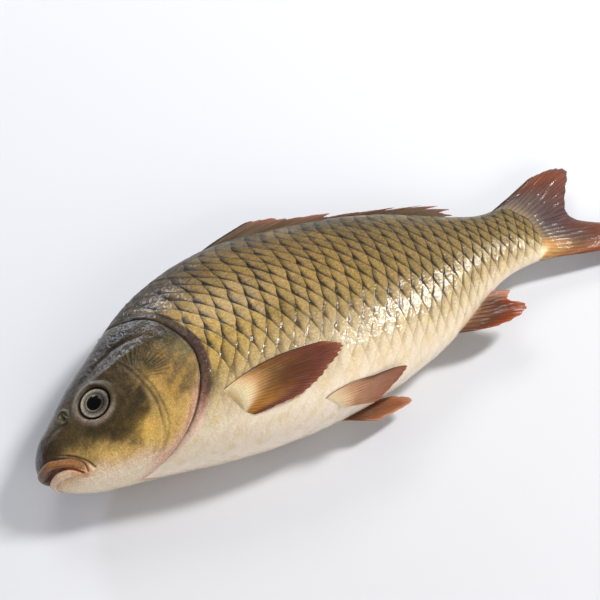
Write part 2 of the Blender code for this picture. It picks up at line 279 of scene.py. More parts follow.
def add(tree, kind, *values, **named):
    """Adds a node with its settings, and with its inputs given in order or by name.

    An input is set to a value or linked to an output, and a node stands for its first output.
    A name such as _6 is an input's place, and stops are the places and greys of a colour ramp.
    """
    node = tree.nodes.new("ShaderNode" + kind)
    inputs = dict(enumerate(values))
    for key, value in named.items():
        if key == "stops":
            node.color_ramp.interpolation = "EASE"
            elements = node.color_ramp.elements
            while len(elements) < len(value):
                elements.new(0.5)
            for element, (position, grey) in zip(elements, value):
                element.position = position
                element.color = (grey, grey, grey, 1)
        elif key[0] == "_":
            inputs[int(key[1:])] = value
        elif key in node.inputs:
            inputs[key] = value
        else:
            setattr(node, key, value)
    for key, value in inputs.items():
        if isinstance(value, bpy.types.Node):
            value = value.outputs[0]
        if isinstance(value, bpy.types.NodeSocket):
            tree.links.new(value, node.inputs[key])
        else:
            node.inputs[key].default_value = value
    return node


def wet_material(name, roughness, coat, coat_roughness=0.08, specular=0.12):
    """A material of a given roughness under a clear wet coat, with its node tree and shader."""
    material = bpy.data.materials.new(name)
    material.use_nodes = True
    tree = material.node_tree
    shader = tree.nodes["Principled BSDF"]
    shader.inputs["Roughness"].default_value = roughness
    shader.inputs["IOR"].default_value = 1.40
    shader.inputs["Specular IOR Level"].default_value = specular
    shader.inputs["Coat Weight"].default_value = coat
    shader.inputs["Coat Roughness"].default_value = coat_roughness
    shader.inputs["Coat IOR"].default_value = 1.38
    return material, tree, shader


SCALES_ALONG = 31.3
ROW_PITCH = spline(
    [0.20, 0.30, 0.50, 0.80, 0.90, 1.01], [0.030, 0.029, 0.0277, 0.0262, 0.0205, 0.017]
)
SIDE_LINE = 0.47  # the row of the side line, as a share of the way from back to belly
ARC_DEPTH = 0.50  # of a scale's pitch
ARC_POWER = 1.03
SCALE_RISE = 0.0011
TRUNK_COLUMNS = 330
LEFT_ROWS = 226
RIGHT_ROWS = 76
UNDER_COVER = 0.030  # how far the trunk's skin runs on under the gill cover


def scale_rows(u, share, along):
    """Lattice coordinates: scales counted behind the gill cover, and rows from the side line."""
    girth = np.interp(u, STATIONS, half_girths)
    uneven = 0.05 * np.sin(9 * along + 5 * share) * np.sin(31 * share + along)
    return along + uneven, (share - SIDE_LINE) * girth / ROW_PITCH(u) + 40 + 0.5 * uneven


def scale_phase(s, t):
    """How far the two nearest rows' exposed scales have run from their front edges, 0 to 1."""
    row = np.floor(t)
    phases = []
    for k, away in ((row, t - row), (row + 1, row + 1 - t)):
        start = s - 0.5 * np.mod(k, 2) - ARC_DEPTH * (1 - away**ARC_POWER)
        phases.append(start - np.floor(start))
    return np.maximum(*phases), np.minimum(*phases)


across_left = np.linspace(0, 1, LEFT_ROWS + 1)
across_right = np.linspace(1, 0, RIGHT_ROWS + 1)[1:-1]
shares = np.concatenate([across_left, across_right])
sides = np.concatenate([np.ones(len(across_left)), -np.ones(len(across_right))])
columns = np.arange(TRUNK_COLUMNS + 1) / TRUNK_COLUMNS
c, share = np.meshgrid(columns, shares, indexing="ij")
start = GILL(share) - UNDER_COVER
u = start + (BODY_END - start) * (1.20 * c - 0.20 * c**2)
behind = u - GILL(share)
points, outward = skin(u, share, sides[None, :])
level = points[..., 1]
s_lattice, t_lattice = scale_rows(u, share, SCALES_ALONG * c)
phase, since = scale_phase(s_lattice, t_lattice)
# The scales end along a curve across the tail's root, and lie smooth and crumpled on the nape
back_corner = (np.clip(0.6 - share, 0, 1) / 0.6) ** 3
belly_corner = (np.clip(share - 0.6, 0, 1) / 0.4) ** 3
scales_end = 1.003 - 0.060 * back_corner - 0.034 * belly_corner
tail_root = smooth(-0.012, 0.004, u - scales_end)
nape = smooth(0.38, 0.14, share) * smooth(0.47, 0.28, u)
raised = SCALE_RISE * (1 + (phase - 1) * smooth(0.0, 0.14, since))
fade = smooth(0.012, 0.034, behind) * (1 - 0.70 * smooth(0.66, 0.86, share))
fade *= (1 - 0.55 * smooth(0.10, 0.0, share)) * (1 - 0.70 * smooth(0.80, 1.0, u)) * (1 - tail_root)
crumple = drift(points, 330, 1.7) * drift(points, 190, 0.6)
knobbly = drift(points, 520, 3.1) * drift(points, 300, 1.1)
relief = raised * fade * (1 - 0.8 * nape) + 0.0003 * drift(points, 95, 2.0)
relief += (0.0012 * crumple + 0.0012 * knobbly) * nape - 0.0035 * smooth(0.0, 0.010, u - scales_end)
slit_sides = np.sin(np.pi * np.clip((share - 0.10) / 0.82, 0, 1)) ** 0.5
slit = -0.0060 * (1 - smooth(-0.001, 0.007, behind)) * slit_sides
slit -= 0.0030 * (1 - smooth(-0.006, 0.004, behind)) * (1 - slit_sides)
# The soft edge of the gill cover's lining, a rounded dark band behind the bone
lining = np.clip(1 - ((behind - 0.0110) / 0.0120) ** 2, 0, 1) ** 0.6 * slit_sides
shape = points + outward * (relief + slit + 0.0026 * lining)[..., None]

tone_share = share - 0.13 * smooth(0.50, 0.80, u)  # the dark back reaches lower towards the tail
skin_colour = along_tones(tone_share, [
    (0.00, "#3f392a"), (0.10, "#574a31"), (0.22, "#7a6239"), (0.42, "#9c7f48"), (0.55, "#a58b57"),
    (0.64, "#b59f76"), (0.74, "#d9c8a8"), (0.85, "#e6d6bf"), (1.00, "#ecdccb"),
])
# The net's colour: the scales' dark pigment and the painted shade of their overlaps
net_colour = along_tones(tone_share, [
    (0.00, "#14120d"), (0.30, "#1f180d"), (0.52, "#2b2011"), (0.62, "#5d4a2c"), (0.72, "#a8916a"),
    (0.82, "#dac7a8"), (1.00, "#e8d8c4"),
])
uneven = drift(points, 42, 0.4)
skin_colour = layered(skin_colour, [
    ("#8a7038", smooth(0.1, 0.7, uneven) * smooth(0.7, 0.5, share) * 0.45),
    ("#c3a04f", smooth(0.52, 0.30, u) * bell(share - 0.54, 0.20) * 0.8),
    ("#d8bf86", smooth(0.15, 0.8, drift(points, 120, 1.1)) * smooth(0.55, 0.70, share) * 0.5),
    ("#7f6c45", smooth(0.55, 0.80, u) * smooth(0.76, 0.58, share) * 0.6),
    ("#3d3019", nape * 0.9),
    ("#1d170c", smooth(0.0, 0.6, drift(points, 300, 5.0)) * nape * 0.75),
    ("#7d6636", smooth(0.2, 0.8, drift(points, 430, 2.0)) * nape * 0.6),
])
net_colour = tinted(net_colour, "#242016", nape * 0.6)
# A painted highlight: a pale glossy line along the back below the dorsal fin, in the skin and the net
painted_back_highlight = bell(share - 0.045, 0.013) * smooth(0.42, 0.50, u) * smooth(0.80, 0.68, u)
skin_colour = tinted(skin_colour, "#a59c90", painted_back_highlight * 0.75)
net_colour = tinted(net_colour, "#8a8278", painted_back_highlight * 0.7)
band = smooth(-0.004, 0.002, behind) * smooth(0.0260, 0.0190, behind) * slit_sides
band_tone = along_tones(share, [
    (0.10, "#29221a"), (0.40, "#3d3128"), (0.62, "#58423a"), (0.70, "#83594e"), (0.78, "#c99a8a"),
    (0.90, "#dbb9a4"),
])
band_tone = band_tone * (1 + 0.25 * drift(points, 260, 0.3))[..., None]
skin_colour = skin_colour + (band_tone - skin_colour) * band[..., None]
net_colour = net_colour + (band_tone * 0.85 - net_colour) * band[..., None]
# Painted shade in the corner behind the lower gill cover, just above the pectoral fin's root
painted_corner_shade = bell(behind - 0.022, 0.014) * bell(level + 0.052, 0.022)
skin_colour = tinted(skin_colour, "#2e2819", painted_corner_shade * 0.8)
belly_end = smooth(0.6, 0.75, share)
for layer, tone in ((skin_colour, "#85745e"), (net_colour, "#6a5b4b")):
    layer[...] = layered(layer, [(tone, tail_root * (1 - belly_end)), ("#a8773f", tail_root * belly_end)])

wrapped_shares = np.concatenate([across_left, across_right, [0.0]])
wc, wshare = np.meshgrid(columns, wrapped_shares, indexing="ij")
wu = np.concatenate([u, u[:, :1]], axis=1)
ws, wt = scale_rows(wu, wshare, SCALES_ALONG * wc)
around = np.linspace(0, 1, len(shares) + 1)
trunk_maps = {
    "OFBake": np.stack(np.meshgrid(columns * 0.98 + 0.01, around * 0.98 + 0.01, indexing="ij"), -1),
    "ScaleRows": np.stack([ws, wt], axis=-1),
}
trunk_ends = np.array([[0.24, 0.02, MIDDLE(0.24)], [BODY_END, 0.021, MIDDLE(BODY_END)]])
trunk_paint = {"paint": skin_colour, "net": net_colour}
trunk = tube_mesh("carp_trunk", metres(shape), metres(trunk_ends), trunk_maps, trunk_paint)

# Scaled skin: thin horny plates over pigment, under clear slime, which gives a crisp wet gloss
GRAIN_MM = 1.2
BLOTCH_MM = 4.5
PUCKER_MM = 1.9
NET_FADE = 2.5  # how fast the dark fades behind a scale's front, over its pitch
SEAM_SHADE_FADE = 13.0
RIM_RISE = 9.0
OVERLAY = {"data_type": "RGBA", "blend_type": "OVERLAY"}
material, tree, shader = wet_material("scaled_wet_skin", 0.40, 0.8, 0.05)
place = add(tree, "TexCoord").outputs["Object"]
gold = add(tree, "Attribute", attribute_name="paint")
dark = add(tree, "Attribute", attribute_name="net")
rows_uv = add(tree, "UVMap", uv_map="ScaleRows")
s_out, t_out = add(tree, "SeparateXYZ", rows_uv).outputs[:2]
row = add(tree, "Math", t_out, operation="FLOOR")
# The two nearest rows' scales, by the same rule as scale_phase
ends = []
for step in (0.0, 1.0):
    this_row = add(tree, "Math", row, step, operation="ADD")
    off_row = add(tree, "Math", t_out, this_row, operation="SUBTRACT")
    away = add(tree, "Math", off_row, operation="ABSOLUTE")
    arc = add(tree, "Math", away, ARC_POWER, operation="POWER")
    odd = add(tree, "Math", this_row, 2.0, operation="MODULO")
    shift = add(tree, "Math", odd, 0.5, operation="MULTIPLY")
    shifted = add(tree, "Math", s_out, shift, operation="SUBTRACT")
    moved = add(tree, "Math", shifted, ARC_DEPTH, operation="SUBTRACT")
    start_at = add(tree, "Math", arc, ARC_DEPTH, moved, operation="MULTIPLY_ADD")
    phase_at = add(tree, "Math", start_at, operation="FRACT")
    cell_at = add(tree, "Math", start_at, operation="FLOOR")
    ends.append((phase_at, cell_at, this_row))
(phase_0, cell_0, row_0), (phase_1, cell_1, row_1) = ends
upper = add(tree, "Math", phase_1, phase_0, operation="GREATER_THAN")
phase_out = add(tree, "Math", phase_0, phase_1, operation="MAXIMUM")
since_out = add(tree, "Math", phase_0, phase_1, operation="MINIMUM")
# Each scale draws its own lot, by the cell and the row of whichever scale is on top
own = []
for first, second in ((cell_0, cell_1), (row_0, row_1)):
    change = add(tree, "Math", second, first, operation="SUBTRACT")
    own.append(add(tree, "Math", change, upper, first, operation="MULTIPLY_ADD"))
own_cell = add(tree, "CombineXYZ", *own)
lot = add(tree, "TexWhiteNoise", Vector=own_cell, noise_dimensions="2D")
grain = add(tree, "TexNoise", Vector=place, Scale=1000 / GRAIN_MM, Detail=4.0, Roughness=0.7)
blotch = add(tree, "TexNoise", Vector=place, Scale=1000 / BLOTCH_MM, Detail=4.0, Roughness=0.6)
# Dark where a scale comes out from under its neighbours: partly pigment and partly painted shade of
# the overlap, with a narrow seam of painted shade just behind each edge, darkest with pigment at its front
# corner
under = add(tree, "Math", since_out, -NET_FADE, 1.0, operation="MULTIPLY_ADD")
under = add(tree, "Math", under, 0.0, operation="MAXIMUM")
under = add(tree, "Math", under, 1.4, operation="POWER")
seam_shade = add(tree, "Math", since_out, -SEAM_SHADE_FADE, 1.0, operation="MULTIPLY_ADD")
seam_shade = add(tree, "Math", seam_shade, 0.0, operation="MAXIMUM")
seam_shade = add(tree, "Math", seam_shade, 0.95, operation="MULTIPLY")
corner = add(tree, "Math", 1.0, phase_out, operation="SUBTRACT")
corner = add(tree, "Math", corner, 2.8, operation="POWER")
corner = add(tree, "Math", corner, 1.30, operation="MULTIPLY")
net = add(tree, "Math", under, 0.80, corner, operation="MULTIPLY_ADD")
net = add(tree, "Math", net, seam_shade, operation="MAXIMUM")
blotchy = add(tree, "Math", blotch, 0.5, operation="SUBTRACT")
net = add(tree, "Math", blotchy, 0.9, net, operation="MULTIPLY_ADD")
luck = add(tree, "Math", lot, 0.5, operation="SUBTRACT")
net = add(tree, "Math", luck, 0.30, net, operation="MULTIPLY_ADD")
net = add(tree, "Clamp", net)
cell = add(tree, "Mix", net, _6=gold, _7=dark, data_type="RGBA").outputs[2]
speckle = add(tree, "ValToRGB", grain, stops=[(0.30, 0.18), (0.50, 0.48), (0.70, 0.86)])
paleness = add(tree, "SeparateColor", gold)
grain_share = add(tree, "Math", 1.05, paleness, operation="SUBTRACT")
grain_share = add(tree, "Clamp", grain_share, Min=0.15, Max=0.85)
finish = add(tree, "Mix", grain_share, _6=cell, _7=speckle, **OVERLAY).outputs[2]
tree.links.new(finish, shader.inputs["Base Color"])
# The slime lies thicker over the pale skin than over the dark
slime = add(tree, "Math", paleness, 2.2, 0.08, operation="MULTIPLY_ADD")
slime = add(tree, "Clamp", slime, Max=0.9)
tree.links.new(slime.outputs[0], shader.inputs["Coat Weight"])
step_up = add(tree, "Math", since_out, RIM_RISE, operation="MULTIPLY")
step_up = add(tree, "Math", step_up, 1.0, operation="MINIMUM")
slope = add(tree, "Math", phase_out, 1.0, operation="SUBTRACT")
height = add(tree, "Math", slope, step_up, 1.0, operation="MULTIPLY_ADD")
height = add(tree, "Math", grain, 0.40, height, operation="MULTIPLY_ADD")
pucker = add(tree, "TexNoise", Vector=place, Scale=1000 / PUCKER_MM, Detail=2.0)
height = add(tree, "Math", pucker, 1.25, height, operation="MULTIPLY_ADD")
bump = add(tree, "Bump", Strength=0.55, Distance=0.0004, Height=height)
tree.links.new(bump.outputs[0], shader.inputs["Normal"])
tree.links.new(bump.outputs[0], shader.inputs["Coat Normal"])
trunk.data.materials.append(material)
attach(trunk, "root")
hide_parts("carp")


# Head
# Scaleless wet skin drawn tight over the skull: brow ridge, eye sockets, nostrils, cheek and the
# bony gill covers, whose soft rims lie over the slits. The fleshy lips stand a little open.

HEAD_COLUMNS = 250
RIM_COLUMNS = 12
HEAD_LEFT_ROWS = 250
HEAD_RIGHT_ROWS = 90
COVER_PROUD = 0.0060  # of the gill cover's rear edge over the trunk

# Lines on the left side, as distance behind the snout and level; the right side is their mirror
UPPER_LIP_LINE = [
    (0.0012, -0.0290), (0.008, -0.0300), (0.020, -0.0305), (0.036, -0.0360), (0.054, -0.0450),
    (0.066, -0.0545), (0.0715, -0.0660),
]
LIP_CREASE = [
    (0.001, -0.0200), (0.009, -0.0225), (0.0215, -0.0232), (0.0377, -0.0286), (0.0557, -0.0374),
    (0.069, -0.0478), (0.0765, -0.0592), (0.0768, -0.0690),
]
OUTER_FOLD = [
    (0.034, -0.0215), (0.045, -0.0265), (0.058, -0.0345), (0.072, -0.0462), (0.083, -0.0590),
    (0.0885, -0.0700),
]
GAPE_LINE = [
    (0.0030, -0.0410), (0.008, -0.0420), (0.019, -0.0425), (0.0345, -0.0455), (0.052, -0.0528),
    (0.064, -0.0625), (0.072, -0.0700),
]
LOWER_LIP_LINE = [
    (0.0085, -0.0500), (0.018, -0.0515), (0.030, -0.0530), (0.044, -0.0565), (0.058, -0.0625),
    (0.071, -0.0705),
]
CHIN_CREASE = [
    (0.018, -0.0620), (0.032, -0.0630), (0.048, -0.0680), (0.064, -0.0720), (0.078, -0.0770),
]
BROW_RIDGE = [
    (0.022, -0.0140), (0.038, -0.0024), (0.056, 0.0050), (0.0726, 0.0095), (0.087, 0.0150),
    (0.100, 0.0330), (0.113, 0.0490), (0.130, 0.0560), (0.150, 0.0580), (0.184, 0.0640),
    (0.220, 0.0690), (0.240, 0.0700),
]
CREST_GROOVE = [
    (0.118, 0.0640), (0.140, 0.0760), (0.165, 0.0850), (0.195, 0.0915), (0.221, 0.0900),
    (0.246, 0.0830),
]
CHEEK_GROOVE = [
    (0.188, 0.0680), (0.1973, 0.0514), (0.2043, 0.0337), (0.2127, 0.0037), (0.2184, -0.0305),
    (0.2159, -0.0540), (0.2096, -0.0769), (0.2005, -0.0904), (0.187, -0.0977), (0.160, -0.1010),
]
REAR_GROOVE = [
    (0.212, 0.0350), (0.2184, 0.0162), (0.2253, -0.0158), (0.2262, -0.0455), (0.2225, -0.0707),
    (0.2135, -0.0850), (0.196, -0.0990),
]
LOW_FOLD = [
    (0.272, -0.0300), (0.266, -0.0560), (0.248, -0.0830), (0.222, -0.0990), (0.180, -0.1060),
]
EYE_PLACE = (0.1297, 0.0204)
EYE_RADIUS = 0.0256
NOSTRIL_PLACE = (0.0748, 0.0293)
MOUTH_KNOB = (0.079, -0.0680)
FAN_PLACE = (0.205, 0.020)  # where the gill cover's fine rays start


def on_side(u, level):
    """A point on the left side's smooth form at a distance from the snout and a level."""
    u, level = np.asarray(u, float), np.asarray(level, float)
    share = np.sqrt(1 - np.clip(1 - u / NOSE_LENGTH, 0, 1) ** 2)
    middle = LEVEL(u)
    up = level > middle
    tall = np.where(up, BACK(u) - middle, middle - BELLY(u)) * share
    power = np.where(up, BACK_POWER(u), BELLY_POWER(u))
    inside = np.clip(1 - (np.abs(level - middle) / np.maximum(tall, 1e-6)) ** power, 0, 1)
    return np.stack([u, level, HALF(u) * share * inside ** (1 / power)], axis=-1)


def line_on_side(path, count=32):
    """A smooth line drawn on the left side, as points."""
    path = np.array(path)
    run = np.concatenate([[0], np.cumsum(np.linalg.norm(np.diff(path, axis=0), axis=1))])
    at = np.linspace(0, run[-1], count)
    return on_side(spline(run, path[:, 0])(at), spline(run, path[:, 1])(at))


def near(points, line):
    """For each point: its distance to a line of points, and how far along the line it is."""
    best = np.full(points.shape[:-1], 9.0)
    along = np.zeros(points.shape[:-1])
    for k, (a, b) in enumerate(zip(line, line[1:])):
        edge = b - a
        t = np.clip(((points - a) @ edge) / (edge @ edge), 0, 1)
        away = np.linalg.norm(points - a - t[..., None] * edge, axis=-1)
        closer = away < best
        best = np.where(closer, away, best)
        along = np.where(closer, (k + t) / (len(line) - 1), along)
    return best, along


def roll(distance, width):
    """A rounded ridge of a given half width, 1 high."""
    return np.clip(1 - (distance / width) ** 2, 0, 1) ** 0.62


def mid_run(along):
    """Fades a line out at both ends."""
    return np.sin(np.pi * np.clip(along, 0, 1)) ** 0.5


cells = np.arange(1, HEAD_COLUMNS + 1) / HEAD_COLUMNS
rim = np.arange(1, RIM_COLUMNS + 1) / RIM_COLUMNS
across_left = np.linspace(0, 1, HEAD_LEFT_ROWS + 1)
across_right = np.linspace(1, 0, HEAD_RIGHT_ROWS + 1)[1:-1]
shares = np.concatenate([across_left, across_right])
sides = np.concatenate([np.ones(len(across_left)), -np.ones(len(across_right))])
edge = GILL(shares)
u = np.concatenate([cells[:, None] ** 1.6 * edge, np.repeat(edge[None], RIM_COLUMNS, 0)])
share = np.broadcast_to(shares, u.shape)
form, _ = skin(u, share, sides)
outward = grid_normals(form[:HEAD_COLUMNS], True)
centre = np.stack([np.full_like(u, 0.06), LEVEL(u), MIDDLE(u)], axis=-1)[:HEAD_COLUMNS]
outward *= np.sign(np.sum(outward * (form[:HEAD_COLUMNS] - centre), axis=-1, keepdims=True))
outward = np.concatenate([outward, np.repeat(outward[-1:], RIM_COLUMNS, 0)])
mirrored = form.copy()
mirrored[..., 2] = np.abs(form[..., 2] - MIDDLE(u))
x, level = mirrored[..., 0], mirrored[..., 1]

upper_lip, along_upper = near(mirrored, line_on_side(UPPER_LIP_LINE))
lip_crease, along_crease = near(mirrored, line_on_side(LIP_CREASE))
outer_fold, along_fold = near(mirrored, line_on_side(OUTER_FOLD))
gape, along_gape = near(mirrored, line_on_side(GAPE_LINE))
lower_lip, along_lower = near(mirrored, line_on_side(LOWER_LIP_LINE))
chin_crease, _ = near(mirrored, line_on_side(CHIN_CREASE))
brow, along_brow = near(mirrored, line_on_side(BROW_RIDGE, 48))
crest, along_crest = near(mirrored, line_on_side(CREST_GROOVE))
groove, along_groove = near(mirrored, line_on_side(CHEEK_GROOVE))
rear_groove, along_rear = near(mirrored, line_on_side(REAR_GROOVE))
low_fold, along_low = near(mirrored, line_on_side(LOW_FOLD))
eye_away = np.linalg.norm(mirrored - on_side(*EYE_PLACE), axis=-1)
nostril_away = np.linalg.norm((mirrored - on_side(*NOSTRIL_PLACE)) * (1.15, 0.85, 1.0), axis=-1)
slit_sides = np.sin(np.pi * np.clip((share - 0.10) / 0.82, 0, 1)) ** 0.5

lip_end = 0.45 + 0.55 * smooth(1.0, 0.75, along_upper)
relief = 0.0040 * roll(upper_lip, 0.0066 * (0.6 + 0.4 * lip_end)) * lip_end
relief += 0.0026 * roll(lower_lip, 0.0068) * (0.5 + 0.5 * smooth(1.0, 0.6, along_lower))
relief -= 0.0016 * bell(lip_crease, 0.0018) * smooth(0.0, 0.25, along_crease)
fold_run = smooth(0.0, 0.35, along_fold)
relief -= 0.0018 * bell(outer_fold, 0.0020) * fold_run
between = bell(lip_crease - 0.0035, 0.0040) * smooth(0.0030, 0.0060, upper_lip - 0.0010)
between = between * bell(outer_fold - 0.0035, 0.0045) * fold_run
relief += 0.0016 * between
knob_away = np.hypot(x - MOUTH_KNOB[0], level - MOUTH_KNOB[1])
relief += 0.0024 * bell(knob_away, 0.0055)
relief -= 0.0007 * bell(chin_crease, 0.0040)
half_open = 0.0012 + 0.0044 * smooth(0.52, 0.16, along_gape)
inside_mouth = smooth(half_open + 0.0012, half_open - 0.0006, gape)
inside_mouth = inside_mouth * smooth(1.0, 0.93, along_gape)
relief = relief * (1 - inside_mouth) - inside_mouth * (0.002 + 0.015 * smooth(0.60, 0.20, along_gape))
brow_run = mid_run(along_brow * 0.96 + 0.02)
relief += 0.0026 * bell(brow, 0.0075) * brow_run * (1 - 0.35 * bell(along_brow - 0.45, 0.10))
relief -= 0.0020 * bell(crest, 0.0055) * mid_run(along_crest)
relief -= 0.0009 * bell(groove, 0.0024) * mid_run(along_groove)
relief += 0.0005 * bell(groove - 0.0060, 0.0050) * mid_run(along_groove) * smooth(0.0, 0.3, along_groove)
relief -= 0.0007 * bell(rear_groove, 0.0026) * mid_run(along_rear)
relief -= 0.0009 * bell(low_fold, 0.0030) * mid_run(along_low)
ripples = np.sin(2 * np.pi * (level + 0.10 * x) / 0.0070 + 2 * np.sin(30 * x))
relief += 0.00030 * ripples * smooth(0.72, 0.84, share) * smooth(0.05, 0.10, u)
# The eyeball's bed, the fold of skin around it, and the gap between them
relief += 0.0036 * bell(eye_away - 0.0315, 0.0048)
relief = np.where(eye_away < 0.0300, relief - 0.0062 * smooth(0.0290, 0.0245, eye_away), relief)
# A nostril: a raised ring around a pit, with a flap across it
relief += 0.0020 * bell(nostril_away - 0.0112, 0.0024)
relief -= 0.0045 * smooth(0.0098, 0.0062, nostril_away)
flap = bell(x - 0.0775 + 0.30 * (level - 0.0293), 0.0018)
relief += 0.0030 * flap * smooth(0.0100, 0.0064, nostril_away)
# Fine bony rays fan back over the gill cover from its upper front corner
fan = np.arctan2(level - FAN_PLACE[1], x - FAN_PLACE[0])
fan_away = np.hypot(level - FAN_PLACE[1], x - FAN_PLACE[0])
fan_zone = smooth(0.010, 0.020, fan_away) * smooth(0.078, 0.044, fan_away)
fan_zone = fan_zone * smooth(-0.7, -0.3, fan) * smooth(2.0, 1.5, fan) * smooth(0.085, 0.070, level)
rays = np.sin((fan + 2.5 * fan_away) * 46 + 2.0 * np.sin(fan * 7)) * fan_zone
relief += 0.00022 * rays
relief += COVER_PROUD * slit_sides * smooth(0.60, 1.0, u / edge) ** 1.5
relief += 0.0004 * drift(mirrored, 75, 0.9) * smooth(0.10, 0.16, u)
# The rim turns under and in
relief[HEAD_COLUMNS:] = relief[HEAD_COLUMNS - 1] - (0.0115 * slit_sides[0] + 0.0035) * rim[:, None] ** 1.3
curl = np.zeros_like(form)
curl[HEAD_COLUMNS:, :, 0] = 0.0042 * np.sin(np.pi * rim[:, None] ** 0.6) - 0.010 * rim[:, None] ** 2
head_points = form + outward * relief[..., None] + curl

head_ends = np.array([[-0.0012, -0.0285, MIDDLE(0.0)], [0.20, 0.02, MIDDLE(0.20)]])
rows_up = np.linspace(0.01, 0.99, len(shares) + 1)
columns_up = np.linspace(0.01, 0.99, len(u))
head_maps = {"OFBake": np.stack(np.meshgrid(columns_up, rows_up, indexing="ij"), -1)}

soft = 0.005 * drift(mirrored, 85, 1.0) + 0.003 * drift(mirrored, 210, 2.3)
patchy = 0.5 + 0.5 * drift(mirrored, 130, 0.5)
paint = np.broadcast_to(linear("#3a2f1b"), form.shape).copy()
paint = tinted(paint, "#4b3c20", patchy * 0.8)
# A golden band under the dark cheek, and gold over the gill cover's plate
CHEEK_LINE = [
    (0.03, -0.012), (0.07, -0.026), (0.095, -0.038), (0.120, -0.046), (0.137, -0.056),
    (0.157, -0.064), (0.171, -0.068), (0.181, -0.058), (0.203, -0.040), (0.215, -0.002),
]
cheek_line = np.interp(x, *zip(*CHEEK_LINE))
below_cheek = smooth(0.018, -0.026, level - cheek_line + 1.6 * soft) * smooth(0.040, 0.075, x)
paint = tinted(paint, "#a0834a", below_cheek * 0.92)
plate = smooth(0.198, 0.232, x + 0.15 * level + 2 * soft) * smooth(0.066, 0.030, level + 2 * soft)
paint = layered(paint, [
    ("#80683e", plate * 0.95),
    ("#b58d49", plate * smooth(0.25, 0.8, patchy) * 0.75),
    ("#7a704c", plate * bell(u - edge, 0.030) * smooth(0.02, 0.05, level + 0.03) * 0.7),
    ("#382e1e", smooth(0.19, 0.22, x + 0.15 * level) * bell(fan_away - 0.026, 0.036)
     * smooth(-0.6, 0.2, fan)),
    ("#45391f", smooth(0.43, 0.34, share + soft) * smooth(0.19, 0.23, x) * 0.8),
    ("#cda65a", bell(rear_groove - 0.006, 0.009) * smooth(0.06, 0.0, level) * 0.55 * plate),
    ("#d4ad64", below_cheek * smooth(-0.034, -0.066, level + soft) * smooth(0.07, 0.13, x) * 0.85),
    ("#e0b55c", bell(np.hypot((x - 0.190) * 0.8, level + 0.062), 0.016) * 0.75),
])
# The pale underside runs from the corner of the mouth back along the gill cover
PALE_LINE = [
    (0.0, -0.050), (0.05, -0.062), (0.08, -0.066), (0.095, -0.0687), (0.113, -0.0740),
    (0.144, -0.0820), (0.178, -0.0880), (0.198, -0.0960), (0.214, -0.1010), (0.25, -0.098),
    (0.30, -0.085),
]
boundary = np.interp(x, *zip(*PALE_LINE))
pale = smooth(0.009, -0.009, level - boundary + 0.8 * soft)
paint = layered(paint, [
    ("#d3b48c", pale),
    ("#e4d3b8", smooth(-0.002, -0.020, level - boundary)),
    ("#d8ab92", pale * bell(low_fold + 0.002, 0.012) * 0.8),
    # A painted highlight on the crests of the throat's fine folds
    ("#e2c6ae", smooth(0.0, 1.0, ripples) * pale * 0.35),
])
crown = smooth(0.050, 0.074, level - 0.30 * (x - 0.12)) * smooth(0.02, 0.06, x)
paint = layered(paint, [
    ("#271e12", crown * 0.9),
    ("#28180b", smooth(0.055, 0.020, x) * smooth(-0.028, -0.010, level)),
    # Painted shade in the cheek and rear grooves, with a painted highlight along the cheek groove's rim
    ("#1d180f", bell(groove, 0.0020) * mid_run(along_groove) * 0.6 * smooth(-0.09, -0.05, level)),
    ("#8f7c58", bell(groove - 0.0048, 0.0022) * mid_run(along_groove) * 0.25),
    ("#372b17", bell(rear_groove, 0.0020) * mid_run(along_rear) * 0.5),
    # Painted shade in the troughs and painted highlight on the crests of the gill cover's fine rays
    ("#2b2413", smooth(0.1, 1.0, -rays) * fan_zone * 0.5),
    ("#a08a50", smooth(0.3, 1.0, rays) * fan_zone * 0.3),
    ("#37301f", bell(u - edge, 0.008) * smooth(0.60, 0.35, share) * 0.9),
    ("#cda088", bell(u - edge, 0.012) * smooth(0.60, 0.72, share) * 0.85),
    # Lips
    ("#9b7a4c", between * 0.9),
])
on_lip = smooth(0.0080, 0.0056, upper_lip)
paint = layered(paint, [
    ("#875a34", on_lip * smooth(0.0, 0.16, along_upper)),
    ("#6b4a34", on_lip * smooth(0.24, 0.02, along_upper) * 0.85),
    ("#a87547", on_lip * bell(upper_lip, 0.0030) * smooth(0.15, 0.4, along_upper) * 0.7),
    ("#d9ac80", bell(knob_away, 0.0062) * 0.9),
])
on_lower = smooth(0.0085, 0.0050, lower_lip)
paint = layered(paint, [
    ("#ddbd9f", on_lower * 0.9),
    ("#c48f62", on_lower * smooth(0.45, 0.9, along_lower) * 0.7),
    # Painted shade in the creases of the lips
    ("#3a2412", bell(outer_fold, 0.0016) * fold_run * 0.9),
    ("#5a3a1c", bell(lip_crease, 0.0012) * 0.8 * smooth(0.1, 0.3, along_crease)),
    ("#8a4210", inside_mouth),
])
# Around the eye and the nostril
ringed = bell(eye_away - 0.0330, 0.0046)
paint = layered(paint, [
    ("#8d7a6a", ringed * smooth(0.030, 0.0, level + 0.5 * (x - 0.12))),
    ("#7d735c", ringed * smooth(0.02, 0.04, level) * smooth(0.14, 0.11, x) * 0.8),
    # Painted shade in the gap between the eyeball and its fold of skin
    ("#17130d", bell(eye_away - 0.0270, 0.0022) * 0.9),
    ("#57522a", smooth(0.0100, 0.0080, nostril_away)),
    # Painted shade in the nostril's pit
    ("#1c150a", bell(nostril_away, 0.0034) * 0.9),
    ("#16140f", bell(nostril_away - 0.0118, 0.0024) * 0.75),
])
behind_rim = np.zeros_like(u)
behind_rim[HEAD_COLUMNS:] = 1
paint = tinted(paint, "#3c2f28", behind_rim * 0.85)
head = tube_mesh("carp_head", metres(head_points), metres(head_ends), head_maps, {"paint": paint})

